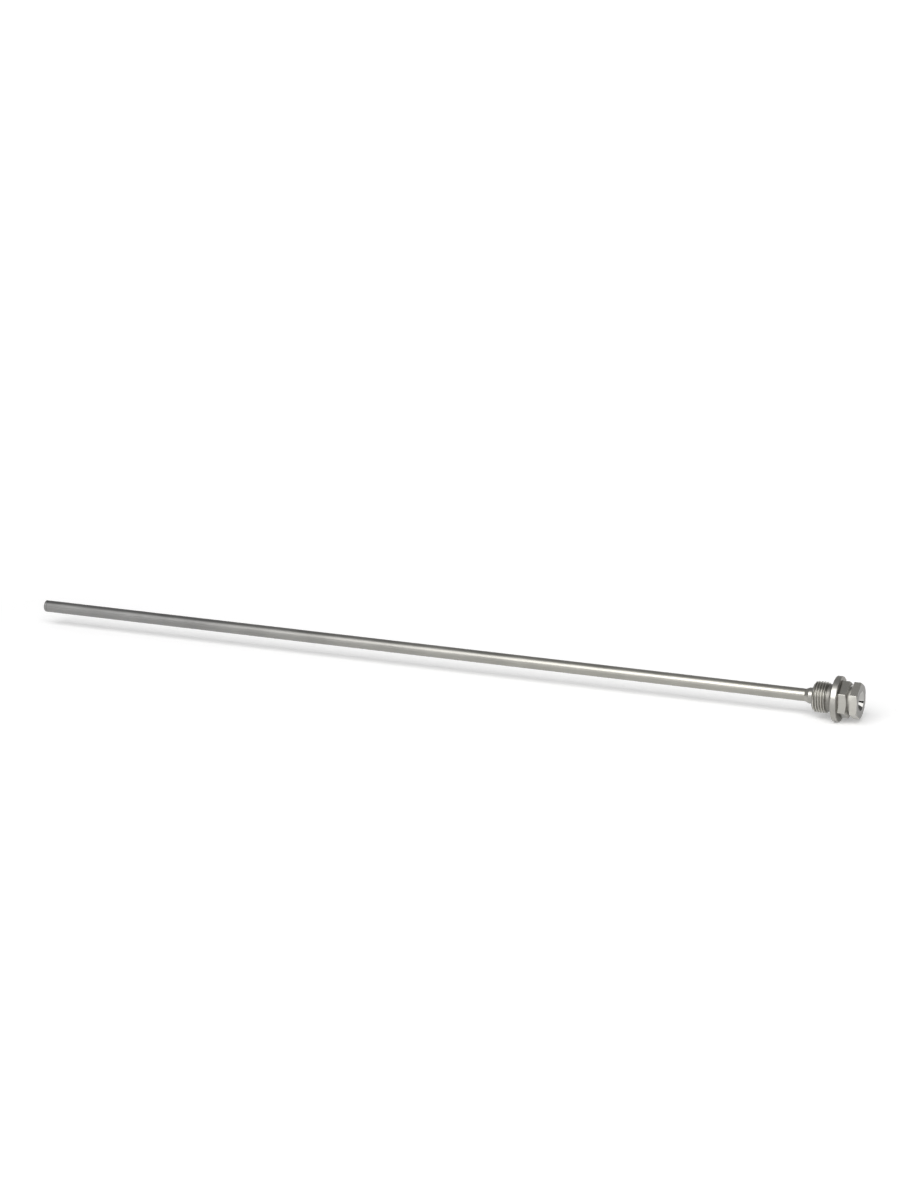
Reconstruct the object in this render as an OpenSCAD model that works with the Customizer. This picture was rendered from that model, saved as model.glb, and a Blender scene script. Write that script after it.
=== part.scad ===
// Welded thermowell: a long closed tube under a threaded head, for a straight temperature probe.
// Frame: +X runs along the axis and out of the mouth, with X = 0 on the sealing face of the collar.
// All sizes are in millimetres.

/* [Stem tube] */
// Length from the sealing face to the outside of the closed tip
insertion_length = 600; // [60:5:1200]
// Outside diameter of the tube
stem_od = 8.5; // [7:0.1:9]
// Wall thickness of the tube
stem_wall = 0.75; // [0.5:0.05:1.2]
// Thickness of the disc that closes the tip
tip_thickness = 2.5; // [1.5:0.1:6]
// Chamfer round the closed end
tip_chamfer = 0.5; // [0.1:0.1:1]

/* [Neck and its weld] */
// Outside diameter of the neck
neck_od = 10.7; // [10.2:0.1:14]
// Length of the neck between the weld and the thread
neck_length = 4; // [1:0.1:20]
// Length of the fillet weld along the tube
weld_length = 2.1; // [1:0.1:3]
// How far the weld bulges over a straight fillet
weld_crown = 0.15; // [0.05:0.01:0.25]
// Gap between tube and socket, measured on the diameter
socket_clearance = 0.1; // [0.04:0.01:0.2]

/* [Process thread, G 1/2] */
// Diameter over the thread crests
thread_od = 20.955; // [19:0.001:26]
// Thread pitch
thread_pitch = 1.814; // [1:0.001:2.3]
// Length of the threaded part with its bevels
thread_length = 9.7; // [6:0.1:30]
// Length of the bevel where the thread ends at the relief
runout_length = 0.5; // [0.2:0.1:1.5]
// Width of the relief groove between thread and collar
relief_width = 4.4; // [1:0.1:8]
// Radius in which the relief runs up into the collar's face
relief_radius = 2.8; // [0.5:0.1:3.6]
// How far the relief and the lead bevel go below the thread root
root_clearance = 0.2; // [0.05:0.05:0.4]

/* [Sealing collar] */
// Diameter of the collar
collar_od = 30.4; // [28:0.1:40]
// Thickness of the collar
collar_thickness = 3.8; // [2:0.1:10]
// Chamfer on both edges of the collar
collar_chamfer = 0.3; // [0.1:0.05:0.8]

/* [Hexagons and clip groove] */
// Width across flats of both hexagons
hex_af = 22.2; // [20:0.1:24]
// Length of the wrench hexagon, next to the collar
wrench_hex_length = 6.5; // [4:0.1:14]
// Face circle of the wrench hexagon
wrench_face_d = 20.6; // [19:0.1:22]
// Length of the end hexagon
end_hex_length = 4.9; // [3:0.1:12]
// Face circle of the end hexagon
end_face_d = 23; // [20:0.1:24]
// Angle between a hexagon's turned chamfer and its face
chamfer_angle = 27; // [15:1:35]
// Width of the clip groove between the hexagons
clip_groove_width = 1.95; // [1.2:0.05:4]
// Diameter of the clip groove's floor
clip_groove_d = 17.3; // [16:0.1:18.5]

/* [Bore] */
// Diameter of the countersunk mouth
mouth_d = 13.4; // [9:0.1:15]
// Included angle of the countersink
mouth_angle = 90; // [60:5:120]
// How far the tube is pushed into its socket in the head
socket_depth = 20; // [6:0.5:28]

/* [Hidden] */
$fn = 96;

stem_bore = stem_od - 2 * stem_wall;
socket_d = stem_od + socket_clearance;

// The thread form is 55 degree Whitworth, whose depth is 0.6403 of the pitch.
thread_root_d = thread_od - 2 * 0.6403 * thread_pitch;
relief_d = thread_root_d - 2 * root_clearance;
relief_fillet = min(relief_radius, relief_width);
lead_bevel = (thread_od - relief_d) / 2; // 45 degrees, at the end that goes in first

// Places along the axis, from the tip to the mouth.
tip_x = -insertion_length;
cap_x = tip_x + tip_thickness;
thread_end_x = -relief_width;
thread_lead_x = thread_end_x - thread_length;
neck_end_x = thread_lead_x - neck_length;
wrench_face_x = collar_thickness + wrench_hex_length;
end_hex_x = wrench_face_x + clip_groove_width;
mouth_x = end_hex_x + end_hex_length;
seat_x = neck_end_x + socket_depth;

hex_corner_d = hex_af / cos(30);
hex_root = 1; // how far a hexagon reaches into what carries it
past = 1;     // how far a cut runs on into the open
arc_steps = 6; // straight pieces in a turned arc

// Turns Z into X, so that what is built upright lies along the part's axis.
module along_axis(x = 0) translate([x, 0, 0]) rotate([0, 90, 0]) children();

// A round bar or hole from x0 to x1.
module rod(d, x0, x1) along_axis(x0) cylinder(d = d, h = x1 - x0);

// A cone from diameter d0 at x0 to diameter d1 at x1.
module taper(d0, d1, x0, x1) along_axis(x0) cylinder(d1 = d0, d2 = d1, h = x1 - x0);

// The turned body without its hexagons: neck, thread over its crests, relief, collar and core.
module turned_body() {
    neck_r = neck_od / 2;
    root_r = relief_d / 2;
    crest_r = thread_od / 2;
    collar_r = collar_od / 2;
    core_r = clip_groove_d / 2;
    // The relief's floor ends in this arc, which is tangent to it and to the collar's face.
    fillet = [for (i = [0:arc_steps]) let (a = 90 * i / arc_steps)
        [root_r + relief_fillet * (1 - cos(a)), relief_fillet * (sin(a) - 1)]];
    along_axis() rotate_extrude() polygon(concat([
        [0, neck_end_x],
        [neck_r, neck_end_x],
        [neck_r, thread_lead_x],
        [root_r, thread_lead_x],
        [crest_r, thread_lead_x + lead_bevel],
        [crest_r, thread_end_x - runout_length],
        [root_r, thread_end_x],
    ], fillet, [
        [collar_r - collar_chamfer, 0],
        [collar_r, collar_chamfer],
        [collar_r, collar_thickness - collar_chamfer],
        [collar_r - collar_chamfer, collar_thickness],
        [core_r, collar_thickness],
        [core_r, mouth_x],
        [0, mouth_x],
    ]));
}

// A hexagon with two corners upright, whose face at x1 is turned down to a circle.
module chamfered_hexagon(x0, x1, face_d) {
    cone_d = face_d + 2 * (x1 - x0) / tan(chamfer_angle);
    intersection() {
        along_axis(x0) cylinder(d = hex_corner_d, h = x1 - x0, $fn = 6);
        taper(cone_d, face_d, x0, x1);
    }
}

// The probe's way in: the countersunk mouth and the bore under it, then the socket for the tube.
module bore() {
    slope = tan(mouth_angle / 2);
    cone_length = (mouth_d - stem_bore) / 2 / slope;
    taper(stem_bore, mouth_d + 2 * past * slope, mouth_x - cone_length, mouth_x + past);
    rod(stem_bore, seat_x - past, mouth_x - cone_length);
    rod(socket_d, neck_end_x - past, seat_x);
}

module head() {
    color("silver") difference() {
        union() {
            turned_body();
            chamfered_hexagon(collar_thickness - hex_root, wrench_face_x, wrench_face_d);
            chamfered_hexagon(end_hex_x, mouth_x, end_face_d);
        }
        bore();
    }
}

module stem_tube() {
    color("lightgray") difference() {
        rod(stem_od, cap_x, seat_x);
        rod(stem_bore, cap_x - past, seat_x + past);
    }
}

// The closing disc, butt-welded to the tube and dressed flush with it.
module tip_cap() {
    color("gainsboro") union() {
        taper(stem_od - 2 * tip_chamfer, stem_od, tip_x, tip_x + tip_chamfer);
        rod(stem_od, tip_x + tip_chamfer, cap_x);
    }
}

// The weld bead round the tube at the neck. Its outline bulges along an arc.
module neck_weld() {
    foot = [stem_od / 2, neck_end_x - weld_length];
    top = [neck_od / 2, neck_end_x];
    chord = norm(top - foot);
    arc_r = (chord * chord / 4 + weld_crown * weld_crown) / (2 * weld_crown);
    half_angle = asin(chord / 2 / arc_r);
    outward = [top[1] - foot[1], foot[0] - top[0]] / chord;
    centre = (foot + top) / 2 - outward * (arc_r - weld_crown);
    middle = atan2(outward[1], outward[0]);
    arc = [for (i = [0:arc_steps]) let (a = middle + half_angle * (2 * i / arc_steps - 1))
        centre + arc_r * [cos(a), sin(a)]];
    color("darkgray") along_axis() rotate_extrude() polygon(concat([[stem_od / 2, neck_end_x]], arc));
}

head();
stem_tube();
tip_cap();
neck_weld();
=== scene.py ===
import math

import bmesh
import bpy
from mathutils import Matrix, Vector


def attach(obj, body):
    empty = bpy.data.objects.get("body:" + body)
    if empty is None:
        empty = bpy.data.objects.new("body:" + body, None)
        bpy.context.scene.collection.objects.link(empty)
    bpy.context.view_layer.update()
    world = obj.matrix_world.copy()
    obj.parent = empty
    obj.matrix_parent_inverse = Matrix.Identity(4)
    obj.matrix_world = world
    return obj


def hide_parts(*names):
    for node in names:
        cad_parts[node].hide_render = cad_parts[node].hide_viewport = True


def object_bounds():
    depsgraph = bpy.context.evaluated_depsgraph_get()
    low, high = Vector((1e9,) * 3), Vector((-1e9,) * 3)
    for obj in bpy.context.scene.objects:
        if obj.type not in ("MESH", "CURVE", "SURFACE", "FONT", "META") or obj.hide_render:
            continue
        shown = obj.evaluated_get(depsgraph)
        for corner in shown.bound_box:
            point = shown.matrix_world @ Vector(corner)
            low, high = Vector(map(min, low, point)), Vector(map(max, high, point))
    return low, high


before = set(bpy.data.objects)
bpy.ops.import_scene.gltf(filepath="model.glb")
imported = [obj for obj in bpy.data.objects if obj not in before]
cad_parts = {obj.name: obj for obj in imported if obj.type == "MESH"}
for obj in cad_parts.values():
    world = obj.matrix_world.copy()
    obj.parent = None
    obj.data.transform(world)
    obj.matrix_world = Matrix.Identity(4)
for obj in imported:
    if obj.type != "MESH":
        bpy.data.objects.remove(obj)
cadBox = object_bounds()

mm = 0.001
scene = bpy.context.scene
scene.view_settings.view_transform = "Standard"


# Shader maths as plain expressions: a Signal is one output socket of a Sheet.
class Signal:
    def __init__(self, sheet, socket):
        self.sheet = sheet
        self.socket = socket

    # another output of the same node
    def out(self, name):
        return Signal(self.sheet, self.socket.node.outputs[name])

    def maths(self, operation, other=0.0, swapped=False):
        pair = [other, self] if swapped else [self, other]
        return self.sheet.add("ShaderNodeMath", {"operation": operation}, pair)

    def __add__(self, other):
        return self.maths("ADD", other)

    def __radd__(self, other):
        return self.maths("ADD", other, True)

    def __sub__(self, other):
        return self.maths("SUBTRACT", other)

    def __rsub__(self, other):
        return self.maths("SUBTRACT", other, True)

    def __mul__(self, other):
        return self.maths("MULTIPLY", other)

    def __rmul__(self, other):
        return self.maths("MULTIPLY", other, True)

    def __truediv__(self, other):
        return self.maths("DIVIDE", other)

    def __pow__(self, other):
        return self.maths("POWER", other)


# The node sheet of one material or of the world.
class Sheet:
    def __init__(self, owner):
        owner.use_nodes = True
        self.tree = owner.node_tree
        self.tree.nodes.clear()

    # A node by its type. Settings go on first, then values or links by socket name or in order.
    def add(self, kind, settings=None, sockets=None, out=0):
        node = self.tree.nodes.new(kind)
        for name, value in (settings or {}).items():
            if name == "stops":
                self.setRamp(node.color_ramp, value)
            else:
                setattr(node, name, value)
        named = sockets.items() if isinstance(sockets, dict) else enumerate(sockets or [])
        for name, value in named:
            if isinstance(value, Signal):
                self.tree.links.new(value.socket, node.inputs[name])
            else:
                node.inputs[name].default_value = value
        return Signal(self, node.outputs[out]) if node.outputs else None

    def setRamp(self, ramp, stops):
        while len(ramp.elements) < len(stops):
            ramp.elements.new(1.0)
        for element, (place, level) in zip(ramp.elements, stops):
            element.position = place
            element.color = (level, level, level, 1.0)

    def mixColour(self, factor, first, second, blend="MIX"):
        return self.add("ShaderNodeMix", {"data_type": "RGBA", "blend_type": blend},
                        {0: factor, 6: first, 7: second}, out=2)

    # x, y and z of the object, in metres
    def position(self):
        split = self.add("ShaderNodeSeparateXYZ", None, [self.add("ShaderNodeTexCoord", out=3)])
        return split, split.out("Y"), split.out("Z")

    def noise(self, x, y, z, scale=1.0, detail=2.0, roughness=0.5):
        where = self.add("ShaderNodeCombineXYZ", None, [x, y, z])
        return self.add("ShaderNodeTexNoise", None,
                        {"Vector": where, "Scale": scale, "Detail": detail, "Roughness": roughness})

    # a value moved from one range to another and kept inside it
    def spread(self, value, low, high, first, last, smooth=False):
        kind = "SMOOTHSTEP" if smooth else "LINEAR"
        return self.add("ShaderNodeMapRange", {"interpolation_type": kind}, [value, low, high, first, last])

    def bump(self, height, depth, strength=1.0):
        return self.add("ShaderNodeBump", None, {"Height": height, "Distance": depth, "Strength": strength})


def grey(level):
    return (level, level, level, 1.0)


# The camera stands off to the mouth's side and a little above.
cameraSettings = {
    "lens": 85.0,
    "sensor": 36.0,
    "aim": (-276.3 * mm, 0.0, 38.2 * mm),   # the point in the middle of the frame
    "distance": 1959 * mm,
    "azimuth": 23.15,                       # degrees from straight in front, towards the mouth
    "elevation": 14.85,
    "clip": (0.05, 200.0),                  # nearest and farthest that is drawn, in metres
}


def makeCamera(s):
    data = bpy.data.cameras.new("viewCamera")
    data.lens = s["lens"]
    data.sensor_width = s["sensor"]
    data.clip_start, data.clip_end = s["clip"]
    turn = math.radians(s["azimuth"])
    rise = math.radians(s["elevation"])
    back = Vector((math.sin(turn) * math.cos(rise), -math.cos(turn) * math.cos(rise), math.sin(rise)))
    viewCamera = bpy.data.objects.new("viewCamera", data)
    viewCamera.location = Vector(s["aim"]) + back * s["distance"]
    viewCamera.rotation_euler = (-back).to_track_quat("-Z", "Y").to_euler()
    scene.collection.objects.link(viewCamera)
    return viewCamera


scene.camera = makeCamera(cameraSettings)
print("camera in place")

# White paper floor, white surroundings, one large softbox, and boards that only the metal sees.
studioSettings = {
    "floorSize": 60.0,
    "floorColour": 0.92,
    "floorLift": 0.215,         # added for the camera and for reflections, so that the paper reads white
    "liftFrom": 0.07,           # past this distance from the part the lift grows, in metres
    "liftFull": 0.30,
    "fill": 0.35,               # strength of the surroundings on what they light
    "boxPlace": (0.15, -2.22, 1.96),
    "boxAim": (0.15, 0.0, 0.0),
    "boxSize": (3.2, 2.1),
    "boxPower": 93.0,
    "archGrey": (0.28, 0.39),   # brightness beyond the tip, and above the head
    "archFade": (-2.5, -0.3),   # x between which it goes from one to the other
    "archReach": 2.0,
    "archHalfLength": 4.0,
    "archArc": (80.0, 176.0),   # degrees round the part, from straight in front over the top
    "archSteps": 24,
    "leftBoard": (-3.9, (-4.0, 4.0), (0.0, 3.0), 0.2),      # x, range of y, range of z, brightness
    "rightLow": (0.47, (-1.2, 1.2), (-0.015, 0.115), 0.06),
    "rightCard": (0.47, (-0.22, 0.28), (0.115, 0.28), 2.2),
    "rightHigh": (0.47, (-1.2, 1.2), (0.28, 1.6), 0.16),
}


def seenRays(sheet):
    path = sheet.add("ShaderNodeLightPath")
    seen = path.out("Is Camera Ray")
    for name in ("Is Glossy Ray", "Is Transmission Ray"):
        seen = seen.maths("MAXIMUM", path.out(name))
    return seen


def makeWorld(s):
    world = bpy.data.worlds.new("whiteStudio")
    scene.world = world
    sheet = Sheet(world)
    strength = s["fill"] + seenRays(sheet) * (1.0 - s["fill"])
    light = sheet.add("ShaderNodeBackground", None, {"Color": grey(1.0), "Strength": strength})
    sheet.add("ShaderNodeOutputWorld", None, {"Surface": light})


def addObject(name, bm):
    mesh = bpy.data.meshes.new(name)
    bm.to_mesh(mesh)
    bm.free()
    made = bpy.data.objects.new(name, mesh)
    scene.collection.objects.link(made)
    return made


def makeFloor(s, box):
    bm = bmesh.new()
    bmesh.ops.create_grid(bm, x_segments=1, y_segments=1, size=s["floorSize"] / 2)
    bmesh.ops.translate(bm, verts=bm.verts, vec=(0, 0, box[0].z))
    floor = addObject("paperFloor", bm)
    paper = bpy.data.materials.new("whitePaper")
    sheet = Sheet(paper)
    x, y, z = sheet.position()
    beside = (x - box[1].x).maths("MAXIMUM", box[0].x - x).maths("MAXIMUM", 0.0)
    away = (beside * beside + y * y) ** 0.5
    lift = sheet.spread(away, s["liftFrom"], s["liftFull"], s["floorLift"], 1.0, True)
    matt = sheet.add("ShaderNodeBsdfDiffuse", None, {"Color": grey(s["floorColour"])})
    glow = sheet.add("ShaderNodeEmission", None, {"Color": grey(1.0), "Strength": seenRays(sheet) * lift})
    both = sheet.add("ShaderNodeAddShader", None, [matt, glow])
    sheet.add("ShaderNodeOutputMaterial", None, {"Surface": both})
    floor.data.materials.append(paper)


def makeSoftbox(s):
    data = bpy.data.lights.new("softbox", "AREA")
    data.shape = "RECTANGLE"
    data.size, data.size_y = s["boxSize"]
    data.energy = s["boxPower"]
    softbox = bpy.data.objects.new("softbox", data)
    softbox.location = s["boxPlace"]
    back = Vector(s["boxPlace"]) - Vector(s["boxAim"])
    softbox.rotation_euler = back.to_track_quat("Z", "Y").to_euler()
    softbox.visible_camera = False
    scene.collection.objects.link(softbox)


# A board is seen by reflections alone: it neither lights nor shades anything.
def finishBoard(board, first, last, fade=(0.0, 1.0)):
    card = bpy.data.materials.new(board.name)
    sheet = Sheet(card)
    strength = sheet.spread(sheet.position()[0], *fade, first, last)
    light = sheet.add("ShaderNodeEmission", None, {"Color": grey(1.0), "Strength": strength})
    sheet.add("ShaderNodeOutputMaterial", None, {"Surface": light})
    board.data.materials.append(card)
    board.visible_camera = False
    board.visible_diffuse = False
    board.visible_shadow = False


def makeArch(s):
    bm = bmesh.new()
    first, last = (math.radians(a) for a in s["archArc"])
    start = (-math.cos(first) * s["archReach"], math.sin(first) * s["archReach"])
    ends = [bm.verts.new((side * s["archHalfLength"], *start)) for side in (-1, 1)]
    edge = bm.edges.new(ends)
    bmesh.ops.spin(bm, geom=[*ends, edge], cent=(0, 0, 0), axis=(1, 0, 0), angle=first - last,
                   steps=s["archSteps"], dvec=(0, 0, 0))
    finishBoard(addObject("arch", bm), *s["archGrey"], s["archFade"])


def makeSideBoard(name, x, widths, heights, brightness):
    bm = bmesh.new()
    bmesh.ops.create_grid(bm, x_segments=1, y_segments=1, size=0.5,
                          matrix=Matrix.Rotation(math.pi / 2, 4, "Y"))
    bmesh.ops.scale(bm, verts=bm.verts, vec=(1, widths[1] - widths[0], heights[1] - heights[0]))
    bmesh.ops.translate(bm, verts=bm.verts, vec=(x, sum(widths) / 2, sum(heights) / 2))
    finishBoard(addObject(name, bm), brightness, brightness)


makeArch(studioSettings)
for boardName in ("leftBoard", "rightLow", "rightCard", "rightHigh"):
    makeSideBoard(boardName, *studioSettings[boardName])
makeWorld(studioSettings)
makeFloor(studioSettings, cadBox)
makeSoftbox(studioSettings)
print("studio lit")


def colour(red, green, blue):
    return (red, green, blue, 1.0)


def steelShader(sheet, base, roughness, normal=None):
    sockets = {"Base Color": base, "Metallic": 1.0, "Roughness": roughness}
    if normal:
        sockets["Normal"] = normal
    shader = sheet.add("ShaderNodeBsdfPrincipled", None, sockets)
    sheet.add("ShaderNodeOutputMaterial", None, {"Surface": shader})


# Turned faces: fine rings round the axis on cylinders and on faces alike, over slow changes of tone, with
# painted shade set by the distance from the axis.
turnedFinish = {
    "colour": (0.375, 0.367, 0.342),
    "feed": 0.16,               # millimetres between tool marks
    "markDepth": 0.004,         # millimetres
    "roughness": (0.24, 0.38),
    "markTone": (0.94, 1.04),   # share of the colour in and between the marks
    "tone": 0.10,               # share by which the colour wanders
    "cloudScale": 160.0,
    "paintedShadeByRadius": (5.0, 9.0, 0.9, 1.0),    # two radii, and the share of the colour at each: painted shade, darker nearer the axis
}
noiseRange = (0.3, 0.7)         # most of what a noise gives lies between these


def cloudTone(sheet, cloud, tone):
    return sheet.spread(cloud, *noiseRange, 1 - tone, 1 + tone * 0.5)


def tinted(sheet, base, shade):
    level = sheet.add("ShaderNodeCombineColor", None, [shade, shade, shade])
    return sheet.mixColour(1.0, base, level, "MULTIPLY")


def makeTurnedSteel(name, s):
    steel = bpy.data.materials.new(name)
    sheet = Sheet(steel)
    x, y, z = sheet.position()
    around = (y * y + z * z) ** 0.5
    marks = sheet.noise(x, around, 0.0, 1 / (s["feed"] * mm), 2.0, 0.6)
    cloud = sheet.noise(x, y, z, s["cloudScale"], 3.0)
    shade = sheet.spread(marks, 0.25, 0.75, *s["markTone"]) * cloudTone(sheet, cloud, s["tone"])
    # painted shade: between the two radii the colour goes from one share to the other, darker nearer the
    # axis
    inner, outer, innerShare, outerShare = s["paintedShadeByRadius"]
    shade = shade * sheet.spread(around, inner * mm, outer * mm, innerShare, outerShare)
    rough = sheet.spread(marks * 0.6 + cloud * 0.4, *noiseRange, *s["roughness"])
    base = tinted(sheet, colour(*s["colour"]), shade)
    steelShader(sheet, base, rough, sheet.bump(marks, s["markDepth"] * mm))
    return steel


# Hexagon flats: bar stock as drawn, with faint lines along it.
flatFinish = {
    "colour": (0.525, 0.513, 0.475),
    "line": 0.12,               # millimetres from line to line
    "lineDepth": 0.002,         # millimetres
    "lineTone": (0.93, 1.05),
    "stretch": 0.03,            # the smaller, the longer the lines
    "roughness": (0.10, 0.18),
    "tone": 0.08,
    "cloudScale": 55.0,
}


def makeDrawnSteel(name, s):
    steel = bpy.data.materials.new(name)
    sheet = Sheet(steel)
    x, y, z = sheet.position()
    across = 1 / (s["line"] * mm)
    lines = sheet.noise(x * s["stretch"], y, z, across, 3.0, 0.65)
    cloud = sheet.noise(x * 0.6, y, z, s["cloudScale"], 3.0)
    shade = sheet.spread(lines, *noiseRange, *s["lineTone"]) * cloudTone(sheet, cloud, s["tone"])
    base = colour(*s["colour"])
    if "seamAt" in s:
        away = (x - s["seamAt"] * mm).maths("ABSOLUTE", 0.0)
        shade = shade * sheet.spread(away, 0.0, s["seamWidth"] * mm, s["seamTone"], 1.0, True)
    # painted shade along the tube: from the head towards the tip the colour falls to the darker, cooler one
    if "headEndColour" in s:
        nearHead = sheet.spread(x, *s["headEndRange"], 0.0, 1.0)
        base = sheet.mixColour(nearHead, base, colour(*s["headEndColour"]))
    rough = sheet.spread(lines * 0.5 + cloud * 0.5, *noiseRange, *s["roughness"])
    steelShader(sheet, tinted(sheet, base, shade), rough, sheet.bump(lines, s["lineDepth"] * mm))
    return steel


# The long tube: drawn and ground, with painted shade that makes it darker and cooler towards the tip.
tubeFinish = dict(
    flatFinish,
    colour=(0.262, 0.26, 0.255),
    line=0.35,
    lineDepth=0.014,
    stretch=0.02,
    roughness=(0.28, 0.42),
    tone=0.12,
    seamAt=-597.5,              # where the tip's disc is welded in, in millimetres
    seamWidth=0.5,
    seamTone=0.72,
    headEndColour=(0.36, 0.351, 0.321),    # near the head: the lighter, warmer end of the painted shade
    headEndRange=(-0.50, -0.18),           # x where it sets in and where it is full, in metres
)

# The steels, each with what it has of its own; some are darker copies that paint shade on faces and
# recesses.
noShadeByRadius = (0.0, 1.0, 1.0, 1.0)    # the same colour at every radius
turnedSteel = makeTurnedSteel("turnedSteel", turnedFinish)
# painted shade: the end face gets a darker copy of the turned steel
shadedFaceSteel = makeTurnedSteel("shadedFaceSteel", dict(
    turnedFinish, colour=(0.21, 0.205, 0.193), roughness=(0.30, 0.42), paintedShadeByRadius=noShadeByRadius))
# painted shade: a darker copy of the turned steel for the relief and the collar's faces, darkest in the
# relief and lighter towards the rim
shadedCollarSteel = makeTurnedSteel("shadedCollarSteel", dict(
    turnedFinish, colour=(0.25, 0.243, 0.225), roughness=(0.42, 0.56), paintedShadeByRadius=(11.0, 15.0, 0.93, 1.3)))
grooveSteel = makeTurnedSteel("grooveSteel", dict(
    turnedFinish, colour=(0.45, 0.439, 0.407), roughness=(0.5, 0.64)))
# painted shade in the thread's roots and a painted highlight on its crests: the colour goes from 0.6 to 1.25
# of itself
threadSteel = makeTurnedSteel("threadSteel", dict(
    turnedFinish, colour=(0.49, 0.48, 0.447), roughness=(0.26, 0.38), paintedShadeByRadius=(9.35, 10.4, 0.6, 1.25),
    feed=0.1, markDepth=0.001))
boreSteel = makeTurnedSteel("boreSteel", dict(
    turnedFinish, colour=(0.45, 0.445, 0.43), roughness=(0.04, 0.08), paintedShadeByRadius=noShadeByRadius, markDepth=0.0004))
weldSteel = makeTurnedSteel("weldSteel", dict(
    turnedFinish, colour=(0.38, 0.37, 0.342), roughness=(0.28, 0.42), paintedShadeByRadius=noShadeByRadius,
    feed=0.8, markDepth=0.006))
flatSteel = makeDrawnSteel("flatSteel", flatFinish)
# painted shade: the wrench hexagon gets a darker copy of the flats' steel
shadedWrenchSteel = makeDrawnSteel("shadedWrenchSteel", dict(flatFinish, colour=(0.44, 0.43, 0.398)))
drawnSteel = makeDrawnSteel("drawnSteel", tubeFinish)
print("steels mixed")

# The head is one turned body with its helical thread, two hexagons and the way in.
headSizes = {                    # millimetres along the axis from the sealing face, and diameters
    "neckFrom": -17.5, "neckOd": 10.7,
    "threadFrom": -14.1, "threadTo": -4.4, "threadOd": 20.955, "pitch": 1.814,
    "runout": 0.5, "threadPhase": 0.6,
    "reliefOd": 18.232, "reliefRadius": 2.8,
    "collarOd": 30.4, "collarTo": 3.8, "collarChamfer": 0.3,
    "wrenchTo": 10.3, "wrenchFaceOd": 20.6,
    "clipTo": 12.25, "clipOd": 17.3,
    "mouthAt": 17.15, "endFaceOd": 23.0,
    "hexFlats": 22.2, "hexChamferAngle": 27.0, "hexEdge": 0.12,
    "mouthOd": 13.4, "mouthAngle": 90.0,
    "boreOd": 7.0, "tubeEndAt": 1.9, "socketOd": 8.6,
    "steps": 144,                # faces round every turned surface
    "filletSteps": 12,
    "sharpAngle": 20.0,          # degrees from which an edge is drawn sharp
}

# The form of one turn of the thread.
threadForm = {
    "depth": 0.6403, "round": 0.1373,    # shares of the pitch
    "flank": 27.5,                       # half the angle between two flanks
    "crestGap": 0.03, "overshoot": 0.8,  # millimetres left at the crest, and cut beyond it
    "lead": 1.4,                         # turns by which the cut starts early
    "arcSteps": 5,
}


def spun(name, outline, steps, closed=False):
    bm = bmesh.new()
    points = [bm.verts.new((x * mm, 0, d / 2 * mm)) for x, d in outline]
    pairs = list(zip(points, points[1:])) + ([(points[-1], points[0])] if closed else [])
    lines = [bm.edges.new(pair) for pair in pairs]
    bmesh.ops.spin(bm, geom=points + lines, cent=(0, 0, 0), axis=(1, 0, 0), angle=2 * math.pi,
                   steps=steps, use_merge=True, dvec=(0, 0, 0))
    bmesh.ops.remove_doubles(bm, verts=bm.verts, dist=1e-7)
    bmesh.ops.recalc_face_normals(bm, faces=bm.faces)
    return addObject(name, bm)


def combine(target, other, operation):
    cut = target.modifiers.new(operation.lower(), "BOOLEAN")
    cut.operation = operation
    cut.solver = "EXACT"
    cut.object = other
    graph = bpy.context.evaluated_depsgraph_get()
    mesh = bpy.data.meshes.new_from_object(target.evaluated_get(graph))
    target.modifiers.clear()
    target.data = mesh
    bpy.data.objects.remove(other)


def turnedBlank(s):
    bevel = (s["threadOd"] - s["reliefOd"]) / 2
    chamfer = s["collarChamfer"]
    rim = s["collarOd"] - 2 * chamfer
    end = s["mouthAt"] - 0.4     # inside the end hexagon
    radius = s["reliefRadius"]
    fillet = []                  # the relief's floor runs up into the collar's face
    for i in range(s["filletSteps"] + 1):
        a = math.pi / 2 * i / s["filletSteps"]
        fillet.append((radius * (math.sin(a) - 1), s["reliefOd"] + 2 * radius * (1 - math.cos(a))))
    return spun("turnedHead", [
        (s["neckFrom"], 0), (s["neckFrom"], s["neckOd"]), (s["threadFrom"], s["neckOd"]),
        (s["threadFrom"], s["reliefOd"]), (s["threadFrom"] + bevel, s["threadOd"]),
        (s["threadTo"] - s["runout"], s["threadOd"]), (s["threadTo"], s["reliefOd"]), *fillet,
        (0, rim), (chamfer, s["collarOd"]), (s["collarTo"] - chamfer, s["collarOd"]),
        (s["collarTo"], rim), (s["collarTo"], s["clipOd"]), (end, s["clipOd"]), (end, 0),
    ], s["steps"])


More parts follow.
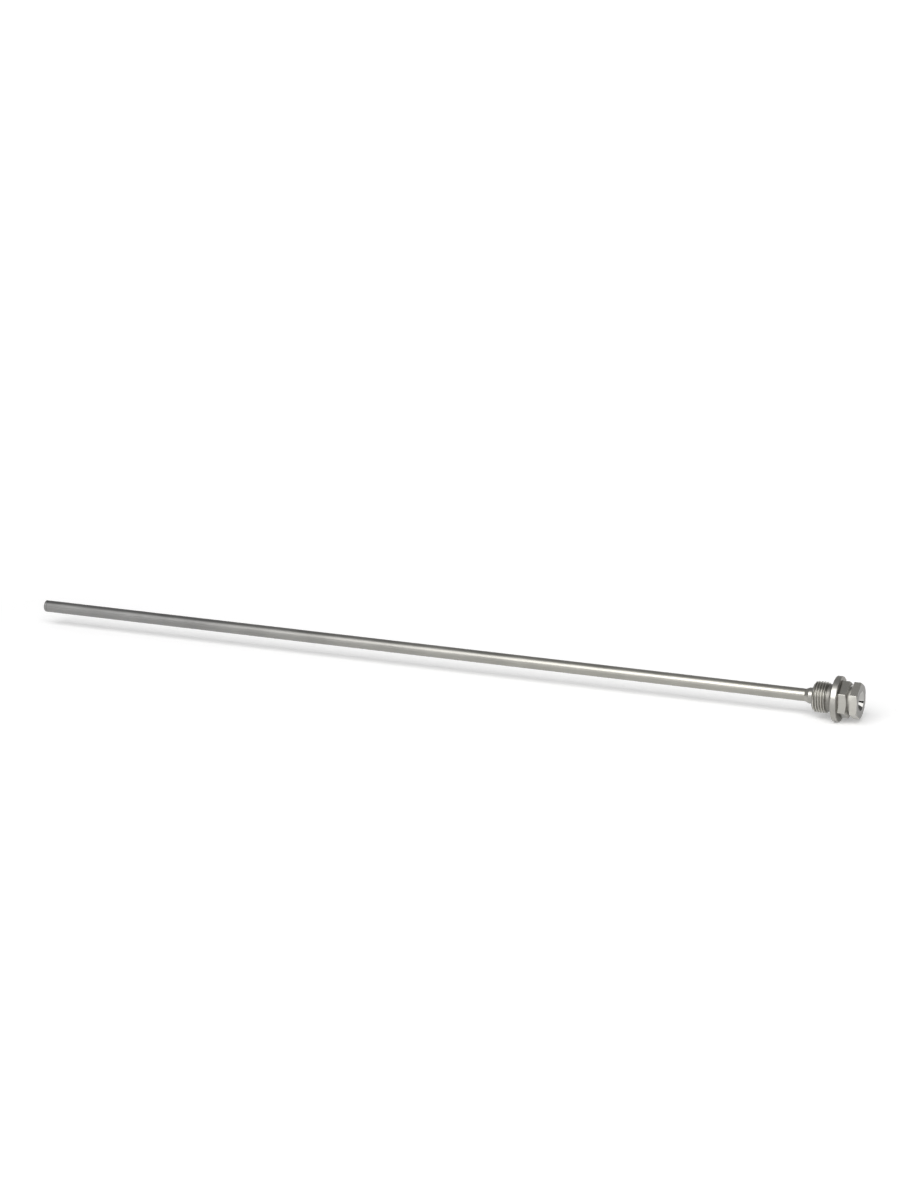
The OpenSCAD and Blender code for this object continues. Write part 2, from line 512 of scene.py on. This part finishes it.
# The groove between the crests, with rounded root and crest, as a coil that cuts the blank.
def threadCutter(s, form):
    pitch = s["pitch"]
    crest = s["threadOd"] / 2
    root = crest - form["depth"] * pitch
    rounding = form["round"] * pitch
    sweep = math.pi / 2 - math.radians(form["flank"])
    angles = [sweep * i / form["arcSteps"] for i in range(form["arcSteps"] + 1)]
    edge = pitch / 2 - form["crestGap"]
    right = [(rounding * math.sin(a), root + rounding * (1 - math.cos(a))) for a in angles]
    right += [(pitch / 2 - rounding * math.sin(a), crest - rounding * (1 - math.cos(a)))
              for a in reversed(angles[1:])]
    right += [(edge, crest), (edge, crest + form["overshoot"])]
    outline = [(-x, r) for x, r in reversed(right[1:])] + right
    turns = math.ceil((s["threadTo"] - s["threadFrom"]) / pitch) + 2
    start = s["threadFrom"] - pitch * form["lead"] + s["threadPhase"]
    bm = bmesh.new()
    points = [bm.verts.new(((start + x) * mm, 0, r * mm)) for x, r in outline]
    face = bm.faces.new(points)
    bmesh.ops.spin(bm, geom=[face, *face.edges, *points], cent=(0, 0, 0), axis=(1, 0, 0),
                   angle=2 * math.pi * turns, steps=s["steps"] * turns, dvec=(pitch * mm / s["steps"], 0, 0))
    bmesh.ops.recalc_face_normals(bm, faces=bm.faces)
    return addObject("threadCutter", bm)


def hexagon(s, x0, x1, faceOd):
    radius = s["hexFlats"] / math.sqrt(3) * mm
    length = (x1 - x0) * mm
    bm = bmesh.new()
    bmesh.ops.create_cone(bm, cap_ends=True, segments=6, radius1=radius, radius2=radius, depth=length)
    corners = [e for e in bm.edges if abs(e.verts[0].co.z - e.verts[1].co.z) > length / 2]
    bmesh.ops.bevel(bm, geom=corners, offset=s["hexEdge"] * mm, segments=3, profile=0.5,
                    affect="EDGES", material=-1)
    for angle, axis in ((math.pi / 6, "Z"), (math.pi / 2, "Y")):
        bmesh.ops.rotate(bm, verts=bm.verts, cent=(0, 0, 0), matrix=Matrix.Rotation(angle, 3, axis))
    bmesh.ops.translate(bm, verts=bm.verts, vec=(x0 * mm + length / 2, 0, 0))
    prism = addObject("hexagon", bm)
    spread = 2 * (x1 - x0 + 1) / math.tan(math.radians(s["hexChamferAngle"]))
    outline = [(x0 - 1, 0), (x0 - 1, faceOd + spread), (x1, faceOd), (x1, 0)]
    turned = spun("envelope", outline, s["steps"])
    combine(prism, turned, "INTERSECT")
    return prism


def wayIn(s):
    slope = math.tan(math.radians(s["mouthAngle"] / 2))
    coneFrom = s["mouthAt"] - (s["mouthOd"] - s["boreOd"]) / 2 / slope
    return spun("wayIn", [
        (s["neckFrom"] - 1, 0), (s["neckFrom"] - 1, s["socketOd"]), (s["tubeEndAt"], s["socketOd"]),
        (s["tubeEndAt"], s["boreOd"]), (coneFrom, s["boreOd"]),
        (s["mouthAt"] + 1, s["mouthOd"] + 2 * slope), (s["mouthAt"] + 1, 0),
    ], s["steps"])


head = turnedBlank(headSizes)
combine(head, threadCutter(headSizes, threadForm), "DIFFERENCE")
print("thread cut")
for hexFrom, hexTo, faceName in ((headSizes["collarTo"] - 1, "wrenchTo", "wrenchFaceOd"),
                                 (headSizes["clipTo"], "mouthAt", "endFaceOd")):
    combine(head, hexagon(headSizes, hexFrom, headSizes[hexTo], headSizes[faceName]), "UNION")
combine(head, wayIn(headSizes), "DIFFERENCE")
print("head", len(head.data.polygons), "faces")


# Which surface a face belongs to, by its middle in millimetres and its distance from the axis.
def headRegion(s, face):
    near = 0.01
    clear = 0.1
    middle = face.calc_center_median() / mm
    around = math.hypot(middle.y, middle.z)
    inMouth = middle.x > s["collarTo"] and around < s["mouthOd"] / 2 + near
    inSocket = middle.x > s["neckFrom"] + clear and around < s["socketOd"] / 2 + clear
    if inMouth or inSocket:
        return "bore"
    if s["threadFrom"] < middle.x < s["threadTo"] and around > s["neckOd"] / 2 + clear:
        return "thread"
    if s["threadTo"] < middle.x < near or abs(middle.x - s["collarTo"]) < near:
        return "collar"
    if middle.x > s["mouthAt"] - near:
        return "face"
    if middle.x < s["collarTo"] + near:
        return "turned"
    if abs(face.normal.x) < near and around > s["clipOd"] / 2 + clear:
        return "flat" if middle.x > s["clipTo"] else "wrench"
    return "groove" if middle.x < s["clipTo"] + near else "turned"


def finishHead(piece, s, steels):
    piece.data.materials.clear()
    for steel in steels.values():
        piece.data.materials.append(steel)
    bm = bmesh.new()
    bm.from_mesh(piece.data)
    bmesh.ops.remove_doubles(bm, verts=bm.verts, dist=2e-6)
    bmesh.ops.dissolve_degenerate(bm, edges=bm.edges, dist=1e-6)
    bmesh.ops.recalc_face_normals(bm, faces=bm.faces)
    names = list(steels)
    for face in bm.faces:
        face.smooth = True
        face.material_index = names.index(headRegion(s, face))
    bm.to_mesh(piece.data)
    bm.free()
    piece.data.set_sharp_from_angle(angle=math.radians(s["sharpAngle"]))
    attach(piece, "root")
    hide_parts("head")


finishHead(head, headSizes, {
    "turned": turnedSteel, "flat": flatSteel, "wrench": shadedWrenchSteel, "thread": threadSteel,
    "collar": shadedCollarSteel, "groove": grooveSteel, "face": shadedFaceSteel, "bore": boreSteel,
})
print("head finished")

# The weld bead laps round the tube in a row of small crescents.
beadSizes = {
    "from": -20.2, "to": -17.3, "tubeOd": 8.5, "neckOd": 10.74, "crown": 0.02,
    "ripples": 34, "rippleDepth": 0.07, "lean": 0.7, "stepsPerRipple": 8, "arcSteps": 10,
    "sharpAngle": 45.0,
}


def makeBead(s):
    foot = Vector((s["from"], s["tubeOd"] / 2))
    top = Vector((s["to"], s["neckOd"] / 2))
    outward = Vector((foot.y - top.y, top.x - foot.x)).normalized()
    outline = [(s["to"], s["tubeOd"])]
    for i in range(s["arcSteps"] + 1):
        share = i / s["arcSteps"]
        point = foot.lerp(top, share) + outward * s["crown"] * 4 * share * (1 - share)
        outline.append((point.x, point.y * 2))
    bead = spun("weldBead", outline, s["ripples"] * s["stepsPerRipple"], True)
    for vert in bead.data.vertices:
        x, y, z = vert.co / mm
        share = (x - s["from"]) / (s["to"] - s["from"])
        lap = math.atan2(z, y) / (2 * math.pi) * s["ripples"] + s["lean"] * (2 * share - 1) ** 2
        dip = s["rippleDepth"] * math.sin(math.pi * share) * (1 - abs(math.sin(math.pi * lap)))
        around = math.hypot(y, z)
        if around > s["tubeOd"] / 2 + 0.01:      # the inside stays round
            shrink = 1 - dip / around
            vert.co.y *= shrink
            vert.co.z *= shrink
    for face in bead.data.polygons:
        face.use_smooth = True
    bead.data.set_sharp_from_angle(angle=math.radians(s["sharpAngle"]))
    bead.data.materials.append(weldSteel)
    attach(bead, "root")
    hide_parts("neck_weld")


makeBead(beadSizes)
print("weld bead laid")

for nodeName in ("stem_tube", "tip_cap"):
    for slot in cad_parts[nodeName].material_slots:
        slot.material = drawnSteel
